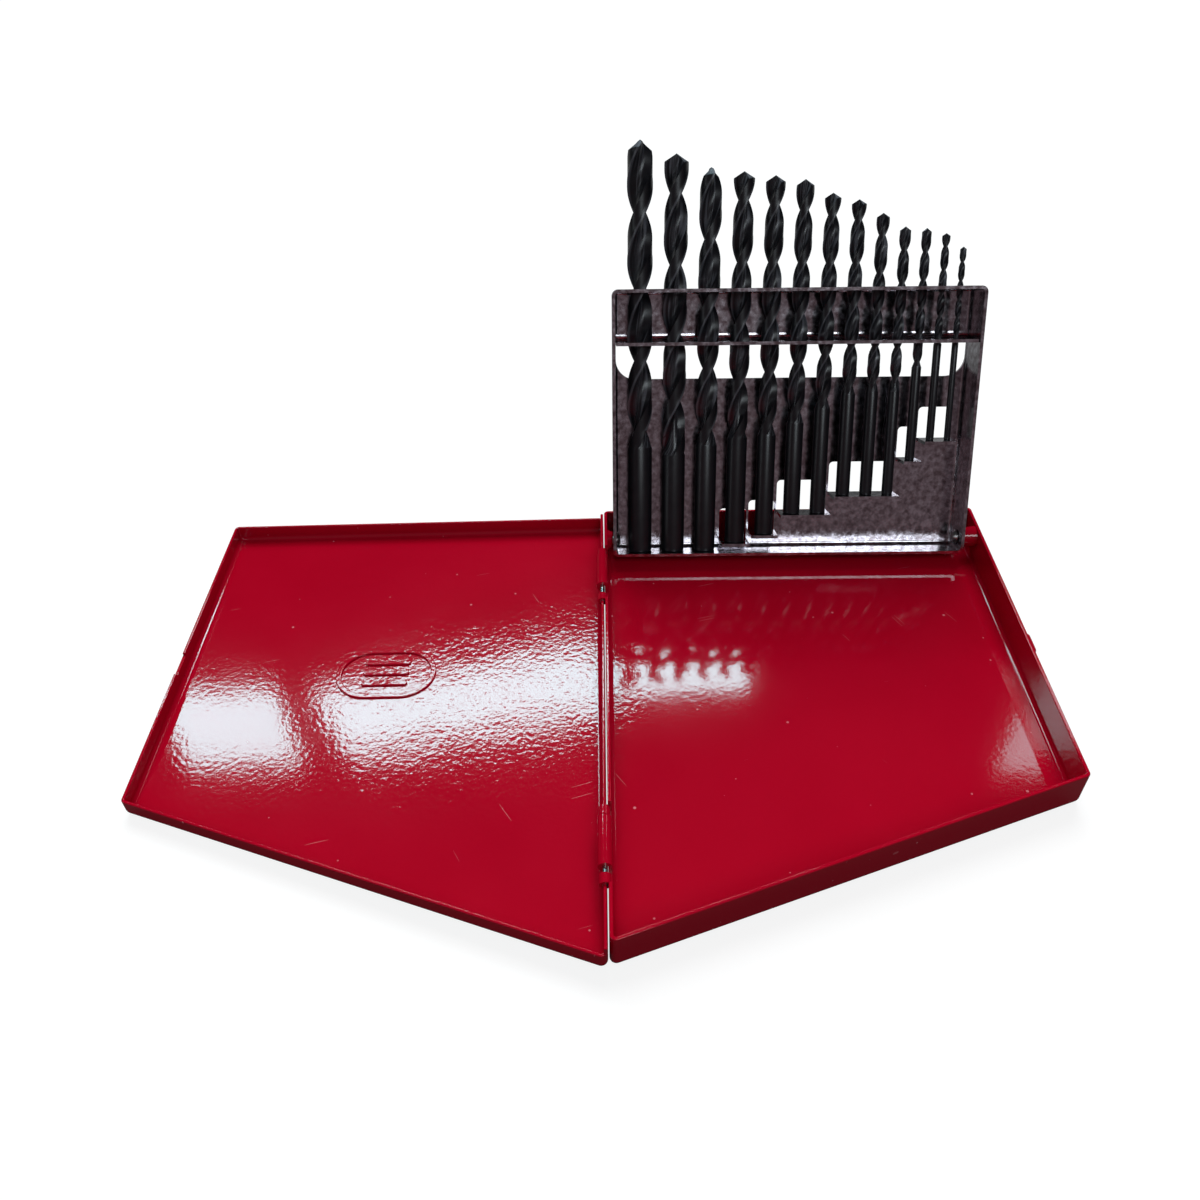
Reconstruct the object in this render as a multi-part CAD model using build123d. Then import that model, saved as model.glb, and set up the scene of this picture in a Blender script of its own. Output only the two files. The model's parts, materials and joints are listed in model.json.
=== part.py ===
"""Hinged sheet-steel case for thirteen twist drills, lying open with its rack raised.

Millimetres, +Z up.  The origin is on the underside of the base tray, midway between the
hinge wall and the outer wall and midway along the hinge edge.  +X runs from the hinge to
the outer wall, +Y runs to the back, where the rack pivots.
"""
import math
import os

from build123d import *

os.makedirs("parts", exist_ok=True)

INCH = 25.4

# ---------------------------------------------------------------- driving dimensions
# Twist drills, largest first: (64ths of an inch, overall inches, flute inches)
DRILL_SIZES = [
    (16, 4.000, 2.7500),
    (15, 3.875, 2.6250),
    (14, 3.750, 2.5000),
    (13, 3.625, 2.4375),
    (12, 3.500, 2.3125),
    (11, 3.250, 2.1250),
    (10, 3.125, 2.0000),
    (9, 2.875, 1.7500),
    (8, 2.750, 1.6250),
    (7, 2.625, 1.5000),
    (6, 2.250, 1.2500),
    (5, 2.000, 1.0000),
    (4, 1.875, 0.8750),
]
POINT_ANGLE = 118.0       # included angle of the drill points
FLUTE_PITCH = 5.6         # flute pitch, in drill diameters
LAND_ANGLE = 76.0         # arc of each land round the drill
WEB = 0.18                # web thickness, in drill diameters
RUN_OUT = 2.0             # length over which the flutes fade, in drill diameters
SHANK_CHAMFER = 0.08      # chamfer at the shank's end, in drill diameters

# Bit rack: one folded sheet, measured up its plate and forward from the plate's back
RACK_SHEET = 0.8
RACK_HEIGHT = 68.0
RACK_DEPTH = 10.2
RACK_FOLD = 1.6           # outside radius of the rack's folds and corners
RACK_LEAN = 25.0          # raised rack's lean past upright, degrees
LEFT_MARGIN = 3.9         # rack's left edge to the largest drill's side
RIGHT_MARGIN = 4.6        # smallest drill's side to the rack's right edge
DRILL_WEB = 2.7           # metal left between neighbouring drills
DRILL_OFFSET = 5.2        # drill axis in front of the plate's back
HOLE_CLEARANCE = 0.2      # radial room round a drill in a shelf hole
SEAT_GAP = 0.02           # drill end above its seat
LOWER_FLANGE = 9.4        # reach of the bottom flange
FLANGE_CHAMFER = 2.0      # height over which the side flanges narrow at the bottom
SHELF_TOP = 55.2          # top face of the middle shelf, up the plate
SHELF_REACH = 9.6
SHELF_BEND = 2.6          # outside bend radius of the middle shelf
WINDOW_FOOT = 45.5        # lower edge of the middle window
WINDOW_MARGIN = 1.0       # middle window to the rack's edges
WINDOW_CORNER = 5.0
CORNER_SHARE = 0.49       # largest corner radius of an opening, as a share of its side
CUT_PAST = 0.6            # how far a cutting tool runs past the face that it cuts
SHARPEST_FOLD = 0.1       # smallest inside radius of a fold
# Seats lanced from the plate: (height of the seat, number of drills on it).
# The drills before them stand on the bottom flange.
FLANGE_DRILLS = 3
LANCED_SEATS = [(3.0, 1), (5.2, 1), (10.6, 2), (15.4, 3), (24.5, 1), (29.6, 2)]
TAB_REACH = 8.4
TAB_BEND = 1.2
TAB_LENGTH = 8.0          # window above each lanced seat
TAB_MARGIN = 1.1          # tab beyond its drills, each side
LANCE_CORNER = 1.1

# Rack pivots: rivets through bosses pressed inwards in the base tray's side walls
PIVOT_UP = 3.8            # pivot above the rack's foot
PIVOT_FORWARD = 5.8       # pivot in front of the plate's back
FLOOR_ROOM = 0.43         # floor to the folding flange
LEFT_GAP = 1.6            # hinge wall to rack
RIGHT_GAP = 3.9           # rack to outer wall
BOSS_GAP = 0.25           # boss to rack flange
BOSS_FOOT = 2.8           # boss radius at the wall
BOSS_TOP = 2.2            # boss radius at its end
RIVET_RADIUS = 1.0
RIVET_FIT = 0.05          # radial running clearance in the rack
RIVET_HEAD = 1.9
RIVET_HEAD_TOP = 1.15     # radius of the head's flat top
RIVET_HEAD_HEIGHT = 0.8
RIVET_TAIL = 1.4
RIVET_TAIL_HEIGHT = 0.6
REST_GAP = 0.1            # raised plate to the back rim it leans on

# Base tray and lid tray
BASE_SHEET = 0.8
LID_SHEET = 0.7
BASE_HEIGHT = 9.6
TRAY_FOLD = 1.8           # outside radius of the trays' floor folds
TRAY_CORNER = 1.2         # outside radius of the trays' upright corners
RIM_ROUND = 0.25          # rounding that the enamel gives the rims' edges
RIM_SHARE = 0.4           # largest rim rounding, as a share of the sheet
TIP_ROOM = 19.5           # largest drill's tip to the front wall, folded
FRONT_SLANT = 36.0        # how much shorter the outer edge is than the hinge edge
LID_CLEARANCE = 0.3       # lid walls outside the base walls
LID_LAP = 0.5             # lid rim below the base rim when closed
HEAD_ROOM = 0.9           # folded rack to the lid's plate

# Hinge: the base tray's curled hooks and the lid's eyes share two short pins
AXIS_DROP = 1.8           # hinge axis below the base rim
PIN_RADIUS = 0.6
PIN_FIT = 0.05            # radial running clearance
HOOK_LENGTH = 11.5
HOOK_WRAP = 250.0         # degrees that a hook curls round its pin
HOOK_ROOM = 0.1           # hook to the lid's slot
HOOK_CENTRES = (40.5, -41.5)
SLOT_SPARE = (3.4, 1.8)   # slot left open in front of each hook
HOOK_END_ROOM = 0.3
EYE_RADIUS = 1.2          # outside radius of the lid's eyes
EYE_LENGTH = 2.2
EYE_ROOM = 0.15           # eye to the base wall's notch
LID_HINGE_RIM = 0.45      # lid's hinge wall past the hinge axis

# Latch: a nib on the base's outer wall snaps into a notch in the lid's rim
LATCH_Y = 12.0
NIB_LENGTH = 6.0
NIB_RADIUS = 0.8
NIB_DROP = 1.1            # nib axis below the base rim
NOTCH_ROOM = 0.5

# Plain pressed ornament on the lid: an oval ring round three bars
ORNAMENT_X = 52.0         # ornament centre from the hinge axis
ORNAMENT_Y = 11.0
ORNAMENT_LENGTH = 24.0
ORNAMENT_WIDTH = 16.0
ORNAMENT_LINE = 1.4
ORNAMENT_HEIGHT = 0.45
ORNAMENT_ROUND = 0.6      # rounding of its upper edges, as a share of its height
BAR_LENGTH = 11.0
BAR_SPACING = 3.4

# ---------------------------------------------------------------- derived places
DIAMETERS = [size * INCH / 64 for size, _, _ in DRILL_SIZES]
DRILL_LENGTHS = [length * INCH for _, length, _ in DRILL_SIZES]
DRILL_NAMES = ["drill_%d_64_inch" % size for size, _, _ in DRILL_SIZES]

RACK_WIDTH = LEFT_MARGIN + sum(DIAMETERS) + DRILL_WEB * (len(DIAMETERS) - 1) + RIGHT_MARGIN
TRAY_WIDTH = LEFT_GAP + RACK_WIDTH + RIGHT_GAP
HINGE_X = -TRAY_WIDTH / 2
OUTER_X = TRAY_WIDTH / 2
RACK_LEFT = HINGE_X + LEFT_GAP
RACK_RIGHT = RACK_LEFT + RACK_WIDTH

LEAN = math.radians(RACK_LEAN)
FLANGE_SWEEP = math.hypot(LOWER_FLANGE - PIVOT_FORWARD, PIVOT_UP)
PIVOT_Z = BASE_SHEET + FLANGE_SWEEP + FLOOR_ROOM
PIVOT_TO_BACK = (PIVOT_FORWARD + REST_GAP + (BASE_HEIGHT - PIVOT_Z) * math.sin(LEAN)) / math.cos(LEAN)
TIP_REACH = RACK_SHEET + SEAT_GAP + max(DRILL_LENGTHS) - PIVOT_UP
HINGE_EDGE = PIVOT_TO_BACK + TIP_REACH + TIP_ROOM
BACK_Y = HINGE_EDGE / 2
FRONT_Y = -HINGE_EDGE / 2
PIVOT_Y = BACK_Y - PIVOT_TO_BACK

EYE_BORE = PIN_RADIUS + PIN_FIT
AXIS_X = HINGE_X - BASE_SHEET - EYE_BORE
AXIS_Z = BASE_HEIGHT - AXIS_DROP
HOOK_RADIUS = EYE_BORE + BASE_SHEET
CLOSED_RIM = BASE_HEIGHT - LID_LAP
CLOSED_TOP = PIVOT_Z + PIVOT_FORWARD + HEAD_ROOM + LID_SHEET
LID_HEIGHT = CLOSED_TOP - CLOSED_RIM
LID_GROWTH = BASE_SHEET + LID_CLEARANCE

# Opened past half a turn until the fold along the lid's outer edge meets the table
LID_REACH = OUTER_X + LID_GROWTH + LID_SHEET - AXIS_X
FOLD_ARM = LID_REACH - TRAY_FOLD
FOLD_DROP = CLOSED_TOP - AXIS_Z - TRAY_FOLD
LID_TILT = math.degrees(
    math.asin((AXIS_Z - TRAY_FOLD) / math.hypot(FOLD_ARM, FOLD_DROP)) - math.atan2(FOLD_DROP, FOLD_ARM)
)
LID_OPENING = 180.0 + LID_TILT

RACK_PLACE = Pos(0, PIVOT_Y, PIVOT_Z) * Rot(-RACK_LEAN, 0, 0) * Pos(0, PIVOT_FORWARD, -PIVOT_UP)


# ---------------------------------------------------------------- small helpers
def box(x_span, y_span, z_span):
    """A block between three pairs of limits."""
    sizes = [span[1] - span[0] for span in (x_span, y_span, z_span)]
    centre = [(span[0] + span[1]) / 2 for span in (x_span, y_span, z_span)]
    return Pos(*centre) * Box(*sizes)


def rod(radius, x_from, x_to, y, z, top_radius=None):
    """A round bar, or a cone, along X."""
    length = abs(x_to - x_from)
    turn = 90 if x_to > x_from else -90
    start = (Align.CENTER, Align.CENTER, Align.MIN)
    if top_radius is None:
        shape = Cylinder(radius, length, align=start)
    else:
        shape = Cone(radius, top_radius, length, align=start)
    return Pos(x_from, y, z) * Rot(0, turn, 0) * shape


def hinge_rod(radius, y_span):
    """A round bar on the hinge axis."""
    length = y_span[1] - y_span[0]
    return Pos(AXIS_X, sum(y_span) / 2, AXIS_Z) * Rot(90, 0, 0) * Cylinder(radius, length)


def drill_centres():
    """X of each drill's axis: equal webs between neighbours."""
    centres = []
    edge = RACK_LEFT + LEFT_MARGIN
    for diameter in DIAMETERS:
        centres.append(edge + diameter / 2)
        edge += diameter + DRILL_WEB
    return centres


def seat_groups():
    """Each seat as its height up the plate and the drills that stand on it."""
    groups = [(RACK_SHEET, list(range(FLANGE_DRILLS)))]
    first = FLANGE_DRILLS
    for height, count in LANCED_SEATS:
        groups.append((height, list(range(first, first + count))))
        first += count
    return groups


# ---------------------------------------------------------------- trays
def tray_outline(growth):
    """The tray's plan: square at the back, slanted at the front."""
    corners = [
        (HINGE_X, BACK_Y),
        (OUTER_X, BACK_Y),
        (OUTER_X, FRONT_Y + FRONT_SLANT),
        (HINGE_X, FRONT_Y),
    ]
    face = make_face(Polyline(*corners, close=True))
    if growth == 0:
        return face
    return offset(face, amount=growth, kind=Kind.INTERSECTION)


def folded_tray(inside, outside, height, sheet):
    """An open pan of folded sheet standing on z = 0."""
    shell = extrude(outside, amount=height)
    shell = fillet(shell.edges().filter_by(Axis.Z), TRAY_CORNER)
    shell = fillet(shell.edges().group_by(Axis.Z)[0], TRAY_FOLD)
    hollow = Pos(0, 0, sheet) * extrude(inside, amount=height)
    hollow = fillet(hollow.edges().filter_by(Axis.Z), max(TRAY_CORNER - sheet, SHARPEST_FOLD))
    hollow = fillet(hollow.edges().group_by(Axis.Z)[0], max(TRAY_FOLD - sheet, SHARPEST_FOLD))
    tray = shell - hollow
    return fillet(tray.edges().group_by(Axis.Z)[-1], min(RIM_ROUND, RIM_SHARE * sheet))


def hook_span(index):
    """Front and back end of a hook."""
    centre = HOOK_CENTRES[index]
    return (centre - HOOK_LENGTH / 2, centre + HOOK_LENGTH / 2)


def slot_span(index):
    """Front and back end of the lid's slot that a hook passes through."""
    front, back = hook_span(index)
    return (front - SLOT_SPARE[index], back + HOOK_END_ROOM)


def eye_spans(index):
    """The lid's two eyes, one beyond each end of a slot."""
    front, back = slot_span(index)
    return [(front - EYE_LENGTH, front), (back, back + EYE_LENGTH)]


def hinge_span(index):
    """The whole length of hinge, from one eye's end to the other's."""
    eyes = eye_spans(index)
    return (eyes[0][0], eyes[1][1])


def hook(index):
    """A tab of the hinge wall, curled outwards over its pin."""
    front, back = hook_span(index)
    wrap = math.radians(HOOK_WRAP)
    middle = wrap / 2

    def at(radius, angle):
        return (AXIS_X + radius * math.cos(angle), AXIS_Z + radius * math.sin(angle))

    section = Wire([
        ThreePointArc(at(HOOK_RADIUS, 0), at(HOOK_RADIUS, middle), at(HOOK_RADIUS, wrap)),
        Line(at(HOOK_RADIUS, wrap), at(EYE_BORE, wrap)),
        ThreePointArc(at(EYE_BORE, wrap), at(EYE_BORE, middle), at(EYE_BORE, 0)),
        Line(at(EYE_BORE, 0), at(HOOK_RADIUS, 0)),
    ])
    curl = extrude(Plane.XZ * make_face(section), amount=HOOK_LENGTH)
    return Pos(0, back, 0) * curl


def pivot_boss(wall_x, inwards, height):
    """The boss that a punch presses into a side wall, and the hollow behind it."""
    boss = rod(BOSS_FOOT, wall_x, wall_x + inwards * height, PIVOT_Y, PIVOT_Z, BOSS_TOP)
    outer_face = wall_x - inwards * BASE_SHEET
    wall_ratio = (BOSS_FOOT - BASE_SHEET) / BOSS_FOOT
    hollow = rod(
        BOSS_FOOT - BASE_SHEET, outer_face, outer_face + inwards * height,
        PIVOT_Y, PIVOT_Z, max(BOSS_TOP * wall_ratio, RIVET_TAIL + RIVET_FIT),
    )
    bore = rod(RIVET_RADIUS, outer_face, wall_x + inwards * (height + BASE_SHEET), PIVOT_Y, PIVOT_Z)
    return boss, hollow, bore


def base_tray():
    """The deep red tray, with two hinge hooks, two pivot bosses and the latch nib."""
    tray = folded_tray(tray_outline(0), tray_outline(BASE_SHEET), BASE_HEIGHT, BASE_SHEET)
    wall = (HINGE_X - BASE_SHEET, HINGE_X)
    notch_wall = (HINGE_X - 2 * BASE_SHEET, HINGE_X + BASE_SHEET)
    notch_foot = AXIS_Z - EYE_RADIUS - EYE_ROOM
    for index in range(len(HOOK_CENTRES)):
        front, back = hinge_span(index)
        notch = (front - HOOK_END_ROOM, back + HOOK_END_ROOM)
        tray -= box(notch_wall, notch, (notch_foot, BASE_HEIGHT + BASE_SHEET))
        tray += box(wall, hook_span(index), (notch_foot - BASE_SHEET, AXIS_Z))
        tray += hook(index)
    for wall_x, inwards, gap in ((HINGE_X, 1, LEFT_GAP), (OUTER_X, -1, RIGHT_GAP)):
        boss, hollow, bore = pivot_boss(wall_x, inwards, gap - BOSS_GAP)
        tray += boss
        tray -= hollow
        tray -= bore
    nib = Pos(OUTER_X + BASE_SHEET, LATCH_Y, BASE_HEIGHT - NIB_DROP)
    nib_end = NIB_LENGTH / 2 - NIB_RADIUS
    nib_bar = nib * Rot(90, 0, 0) * Cylinder(NIB_RADIUS, 2 * nib_end)
    for side in (-1, 1):
        nib_bar += nib * Pos(0, side * nib_end, 0) * Sphere(NIB_RADIUS)
    inside_room = box((OUTER_X - 2 * NIB_RADIUS, OUTER_X), (FRONT_Y, BACK_Y), (BASE_SHEET, BASE_HEIGHT))
    return tray + (nib_bar - inside_room)


def ornament():
    """A plain pressed oval with three bars, standing on z = 0."""
    ring = SlotOverall(ORNAMENT_LENGTH, ORNAMENT_WIDTH)
    ring -= SlotOverall(ORNAMENT_LENGTH - 2 * ORNAMENT_LINE, ORNAMENT_WIDTH - 2 * ORNAMENT_LINE)
    for step in (-1, 0, 1):
        ring += Pos(0, step * BAR_SPACING) * SlotOverall(BAR_LENGTH, ORNAMENT_LINE)
    raised = extrude(ring, amount=ORNAMENT_HEIGHT)
    return fillet(raised.edges().group_by(Axis.Z)[-1], ORNAMENT_HEIGHT * ORNAMENT_ROUND)


def lid_closed():
    """The shallow lid in its closed place over the base tray."""
    inside = tray_outline(LID_GROWTH)
    outside = tray_outline(LID_GROWTH + LID_SHEET)
    lid = folded_tray(inside, outside, LID_HEIGHT, LID_SHEET)
    lid += Pos(AXIS_X + ORNAMENT_X, ORNAMENT_Y, LID_SHEET) * ornament()
    lid = Pos(0, 0, CLOSED_TOP) * lid.mirror(Plane.XY)
    # the hinge wall reaches down past the hinge axis
    wall = (HINGE_X - LID_GROWTH - LID_SHEET, HINGE_X - LID_GROWTH)
    slope = FRONT_SLANT / TRAY_WIDTH
    front_end = FRONT_Y - LID_GROWTH * (math.hypot(1, slope) + slope)
    wall_y = (front_end, BACK_Y + LID_GROWTH)
    strip = box(wall, wall_y, (AXIS_Z - LID_HINGE_RIM, CLOSED_RIM + LID_SHEET))
    lower_edges = strip.edges().group_by(Axis.Z)[0].filter_by(Axis.Y)
    lid += fillet(lower_edges, min(RIM_ROUND, RIM_SHARE * LID_SHEET))
    for index in range(len(HOOK_CENTRES)):
        for span in eye_spans(index):
            lid += hinge_rod(EYE_RADIUS, span)
        slot_wall = (wall[0] - EYE_RADIUS, wall[1] + EYE_RADIUS)
        slot_top = AXIS_Z + HOOK_RADIUS + HOOK_ROOM
        lid -= box(slot_wall, slot_span(index), (AXIS_Z - 2 * EYE_RADIUS, slot_top))
        lid -= hinge_rod(EYE_BORE, hinge_span(index))
    notch_y = (LATCH_Y - NIB_LENGTH / 2 - NOTCH_ROOM, LATCH_Y + NIB_LENGTH / 2 + NOTCH_ROOM)
    notch_x = (OUTER_X + BASE_SHEET, OUTER_X + LID_GROWTH + 2 * LID_SHEET)
    notch_top = BASE_HEIGHT - NIB_DROP + NIB_RADIUS + NOTCH_ROOM
    lid -= box(notch_x, notch_y, (CLOSED_RIM - LID_SHEET, notch_top))
    return lid


def lid_tray():
    """The lid turned back past half a turn, with its outer edge on the table."""
    hinge_line = Axis((AXIS_X, 0, AXIS_Z), (0, 1, 0))
    return lid_closed().rotate(hinge_line, -LID_OPENING)


# ---------------------------------------------------------------- bit rack
def plate_profile(points_and_arcs):
    """A face in the rack's side view, drawn as (forward, up) and turned to (y, z)."""
    return Plane.YZ * mirror(make_face(points_and_arcs), Plane.YZ)


def folded_strip(reach, bend, face_height, upwards):
    """Side view of a strip folded forward out of the plate.

    upwards is 1 where the sheet comes up from below and its top face is at face_height,
    and -1 where it comes down from above and its underside is at face_height.
    """
    centre_up = face_height - upwards * bend
    inner = bend - RACK_SHEET
    diagonal = math.sqrt(0.5)

    def arc(radius):
        start = (bend - radius, centre_up)
        middle = (bend - radius * diagonal, centre_up + upwards * radius * diagonal)
        end = (bend, centre_up + upwards * radius)
        return start, middle, end

    out = arc(bend)
    back = arc(inner)
    return plate_profile(Wire([
        ThreePointArc(*out),
        Line(out[2], (reach, out[2][1])),
        Line((reach, out[2][1]), (reach, back[2][1])),
        Line((reach, back[2][1]), back[2]),
        ThreePointArc(*back[::-1]),
        Line(back[0], out[0]),
    ]))


def rack_window(x_span, up_span, corner):
    """A rounded opening through the plate."""
    width = x_span[1] - x_span[0]
    height = up_span[1] - up_span[0]
    radius = min(corner, CORNER_SHARE * width, CORNER_SHARE * height)
    outline = RectangleRounded(width, height, radius)
    centre = Pos(sum(x_span) / 2, -RACK_SHEET / 2, sum(up_span) / 2)
    return centre * extrude(Plane.XZ * outline, amount=RACK_SHEET / 2 + CUT_PAST, both=True)


def rack_pan():
    """The plate with its four flanges folded forward."""
    shell = box((RACK_LEFT, RACK_RIGHT), (-RACK_DEPTH, 0), (0, RACK_HEIGHT))
    shell = fillet(shell.edges().filter_by(Axis.Y), RACK_FOLD)
    shell = fillet(shell.edges().group_by(Axis.Y)[-1], RACK_FOLD)
    inset = (RACK_LEFT + RACK_SHEET, RACK_RIGHT - RACK_SHEET)
    inner_fold = max(RACK_FOLD - RACK_SHEET, SHARPEST_FOLD)
    hollow = box(inset, (-2 * RACK_DEPTH, -RACK_SHEET), (RACK_SHEET, RACK_HEIGHT - RACK_SHEET))
    hollow = fillet(hollow.edges().filter_by(Axis.Y), inner_fold)
    hollow = fillet(hollow.edges().group_by(Axis.Y)[-1], inner_fold)
    return shell - hollow


def bit_rack_upright():
    """The rack standing upright, its plate's back on y = 0 and its foot on z = 0."""
    rack = rack_pan()
    centres = drill_centres()
    full = (RACK_LEFT - CUT_PAST, RACK_RIGHT + CUT_PAST)
    plate = (-RACK_SHEET - CUT_PAST, CUT_PAST)
    trim = plate_profile(Polyline(
        (LOWER_FLANGE, -RACK_SHEET), (LOWER_FLANGE, 0), (RACK_DEPTH, FLANGE_CHAMFER),
        (2 * RACK_DEPTH, FLANGE_CHAMFER), (2 * RACK_DEPTH, -RACK_SHEET), close=True,
    ))
    rack -= Pos(full[0], 0, 0) * extrude(trim, amount=full[1] - full[0])
    # middle shelf, folded forward out of the window under it
    shelf_x = (RACK_LEFT + WINDOW_MARGIN, RACK_RIGHT - WINDOW_MARGIN)
    shelf_under = SHELF_TOP - RACK_SHEET
    rack -= rack_window(shelf_x, (WINDOW_FOOT, shelf_under + SHELF_BEND), WINDOW_CORNER)
    rack -= box(shelf_x, plate, (shelf_under - SHELF_BEND, shelf_under + SHELF_BEND))
    shelf = extrude(folded_strip(SHELF_REACH, SHELF_BEND, shelf_under, -1), amount=shelf_x[1] - shelf_x[0])
    rack += Pos(shelf_x[0], 0, 0) * shelf
    # lanced seats
    for height, drills in seat_groups()[1:]:
        left = centres[drills[0]] - DIAMETERS[drills[0]] / 2 - TAB_MARGIN
        right = centres[drills[-1]] + DIAMETERS[drills[-1]] / 2 + TAB_MARGIN
        rack -= rack_window((left, right), (height - TAB_BEND, height + TAB_LENGTH), LANCE_CORNER)
        rack -= box((left, right), plate, (height - TAB_BEND, height + TAB_BEND))
        tab = extrude(folded_strip(TAB_REACH, TAB_BEND, height, 1), amount=right - left)
        rack += Pos(left, 0, 0) * tab
    # drill holes in the top flange and the middle shelf
    for centre, diameter in zip(centres, DIAMETERS):
        start = (Align.CENTER, Align.CENTER, Align.MIN)
        bore = Cylinder(diameter / 2 + HOLE_CLEARANCE, RACK_HEIGHT - WINDOW_FOOT + CUT_PAST, align=start)
        rack -= Pos(centre, -DRILL_OFFSET, WINDOW_FOOT) * bore
    # pivot holes in the side flanges
    rack -= rod(RIVET_RADIUS + RIVET_FIT, full[0], full[1], -PIVOT_FORWARD, PIVOT_UP)
    return rack


def rack_rivet(flange_x, inwards, gap):
    """Rivet from the boss's hollow through the rack's flange: tail, shank and domed head."""
    hollow_floor = flange_x - inwards * (BOSS_GAP + BASE_SHEET)
    head_face = flange_x + inwards * (RACK_SHEET + BOSS_GAP)
    rivet = rod(RIVET_TAIL, hollow_floor - inwards * RIVET_TAIL_HEIGHT, hollow_floor, PIVOT_Y, PIVOT_Z)
    rivet += rod(RIVET_RADIUS, hollow_floor, head_face, PIVOT_Y, PIVOT_Z)
    head_top = head_face + inwards * RIVET_HEAD_HEIGHT
    rivet += rod(RIVET_HEAD, head_face, head_top, PIVOT_Y, PIVOT_Z, RIVET_HEAD_TOP)
    return rivet


# ---------------------------------------------------------------- drills
def flute_section(diameter):
    """Two lands joined by two hollow flutes."""
    radius = diameter / 2
    half_land = math.radians(LAND_ANGLE / 2)
    half_web = WEB * diameter / 2
    land_x = radius * math.cos(half_land)
    land_y = radius * math.sin(half_land)
    return make_face(Wire([
        ThreePointArc((land_x, land_y), (0, half_web), (-land_x, land_y)),
        ThreePointArc((-land_x, land_y), (-radius, 0), (-land_x, -land_y)),
        ThreePointArc((-land_x, -land_y), (0, -half_web), (land_x, -land_y)),
        ThreePointArc((land_x, -land_y), (radius, 0), (land_x, land_y)),
    ]))


def twist_drill(diameter, length, flute_length):
    """A drill standing on its shank, on the Z axis."""
    radius = diameter / 2
    shank_length = length - flute_length
    start = (Align.CENTER, Align.CENTER, Align.MIN)
    turn = 360 * flute_length / (FLUTE_PITCH * diameter)
    fluted = Solid.extrude_linear_with_rotation(
        flute_section(diameter).face(), (0, 0, 0), (0, 0, flute_length), turn
    )
    run_out = Cone(radius, WEB * diameter / 2, RUN_OUT * diameter, align=start)
    drill = Cylinder(radius, shank_length, align=start)
    drill += Pos(0, 0, shank_length) * run_out
    drill += fluted.moved(Location((0, 0, shank_length)))
    point = radius / math.tan(math.radians(POINT_ANGLE / 2))
    chamfer = SHANK_CHAMFER * diameter
    envelope = Polyline(
        (0, 0), (radius - chamfer, 0), (diameter, radius + chamfer), (diameter, length - 2 * point),
        (0, length), close=True,
    )
    return drill & revolve(Plane.XZ * make_face(envelope), Axis.Z)


def seated_drills():
    """Each drill by name, standing on its seat in the raised rack."""
    centres = drill_centres()
    placed = {}
    for height, drills in seat_groups():
        for index in drills:
            _, length, flutes = DRILL_SIZES[index]
            drill = twist_drill(DIAMETERS[index], length * INCH, flutes * INCH)
            seat = Pos(centres[index], -DRILL_OFFSET, height + SEAT_GAP)
            placed[DRILL_NAMES[index]] = RACK_PLACE * seat * drill
    return placed


# ---------------------------------------------------------------- the whole case
def build_case():
    """Every separate piece by its node name."""
    pieces = {
        "base_tray": base_tray(),
        "lid_tray": lid_tray(),
        "bit_rack": RACK_PLACE * bit_rack_upright(),
        "rack_rivet_left": rack_rivet(RACK_LEFT, 1, LEFT_GAP),
        "rack_rivet_right": rack_rivet(RACK_RIGHT, -1, RIGHT_GAP),
    }
    for index, side in enumerate(("rear", "front")):
        pieces["hinge_pin_" + side] = hinge_rod(PIN_RADIUS, hinge_span(index))
    pieces.update(seated_drills())
    return pieces


for name, piece in build_case().items():
    export_step(piece, os.path.join("parts", name + ".step"))

print("hinge axis x %.3f z %.3f" % (AXIS_X, AXIS_Z))
print("rack pivot y %.3f z %.3f, lean %.1f" % (PIVOT_Y, PIVOT_Z, RACK_LEAN))
print("lid opening %.3f, closed height %.2f" % (LID_OPENING, CLOSED_TOP))
print("tray %.2f wide, hinge edge %.2f, lid height %.2f" % (TRAY_WIDTH, HINGE_EDGE, LID_HEIGHT))
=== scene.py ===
"""Looks of the hinged twist drill case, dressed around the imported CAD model.

Everything is in metres in the CAD model's own frame: the origin is on the underside of
the base tray, +X runs to the base tray's outer wall and +Y to the back, where the rack
pivots.
"""
import json
import math

import bpy
import numpy as np
from mathutils import Matrix, Vector


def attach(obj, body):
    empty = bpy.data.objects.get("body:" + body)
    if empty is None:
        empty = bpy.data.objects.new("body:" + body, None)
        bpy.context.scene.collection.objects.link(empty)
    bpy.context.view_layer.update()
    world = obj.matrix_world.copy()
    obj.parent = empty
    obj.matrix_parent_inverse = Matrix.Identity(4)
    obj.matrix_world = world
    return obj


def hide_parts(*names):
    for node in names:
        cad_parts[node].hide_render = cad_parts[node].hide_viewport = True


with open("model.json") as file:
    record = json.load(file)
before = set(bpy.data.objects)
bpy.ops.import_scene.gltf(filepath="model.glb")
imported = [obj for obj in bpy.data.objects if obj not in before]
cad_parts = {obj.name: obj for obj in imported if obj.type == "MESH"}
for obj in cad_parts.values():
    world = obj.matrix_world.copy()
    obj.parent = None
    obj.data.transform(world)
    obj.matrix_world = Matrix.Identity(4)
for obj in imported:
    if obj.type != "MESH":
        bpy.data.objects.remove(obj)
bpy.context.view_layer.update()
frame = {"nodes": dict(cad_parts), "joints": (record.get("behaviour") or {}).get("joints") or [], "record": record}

MM = 0.001
INCH = 25.4 * MM
WHITE = (1.0, 1.0, 1.0, 1.0)

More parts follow.
